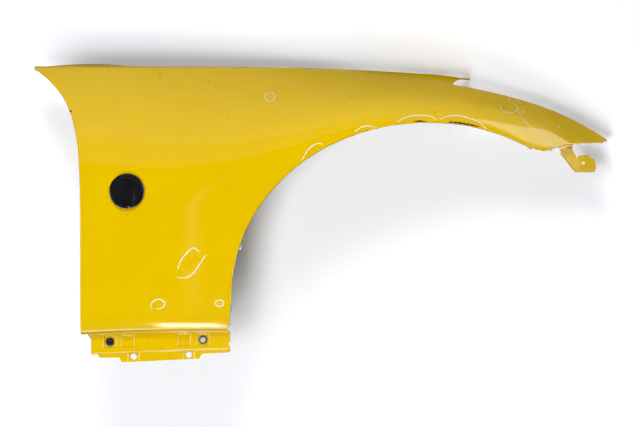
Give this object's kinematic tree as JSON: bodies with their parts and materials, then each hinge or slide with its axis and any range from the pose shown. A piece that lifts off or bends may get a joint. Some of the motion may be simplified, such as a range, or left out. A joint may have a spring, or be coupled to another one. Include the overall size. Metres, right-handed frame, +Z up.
{
  "type": "car fender",
  "caption": "Right-hand front fender pressed from steel sheet, with wheel arch, hood ledge, sill flange with bolt pads, round side badge and a front bracket.",
  "frame": {"origin": "middle of the outer face of the blank front bolt pad on the sill flange", "axes": "+X forward along the car, +Y inboard towards the middle of the car, +Z up"},
  "size_m": [1.0631, 0.2157, 0.551],
  "materials": {
    "body_paint": "gloss yellow paint, used",
    "bracket_paint": "thin yellow overspray",
    "badge_black": "gloss black",
    "foam_tape": "matte foam",
    "black_plastic": "moulded, satin",
    "grey_plastic": "moulded nylon, satin",
    "zinc_steel": "zinc plated, dull"
  },
  "bodies": {
    "root": {"fender_panel": "body_paint", "front_bracket": "bracket_paint", "badge_base": "badge_black", "badge_face": "badge_black", "badge_pad": "foam_tape", "sill_grommet": "black_plastic", "sill_rivet_body": "grey_plastic", "sill_rivet_pin": "grey_plastic", "liner_clip_upper": "zinc_steel", "liner_clip_lower": "zinc_steel", "bumper_clip_rear": "zinc_steel", "bumper_clip_front": "zinc_steel"}
  },
  "joints": []
}
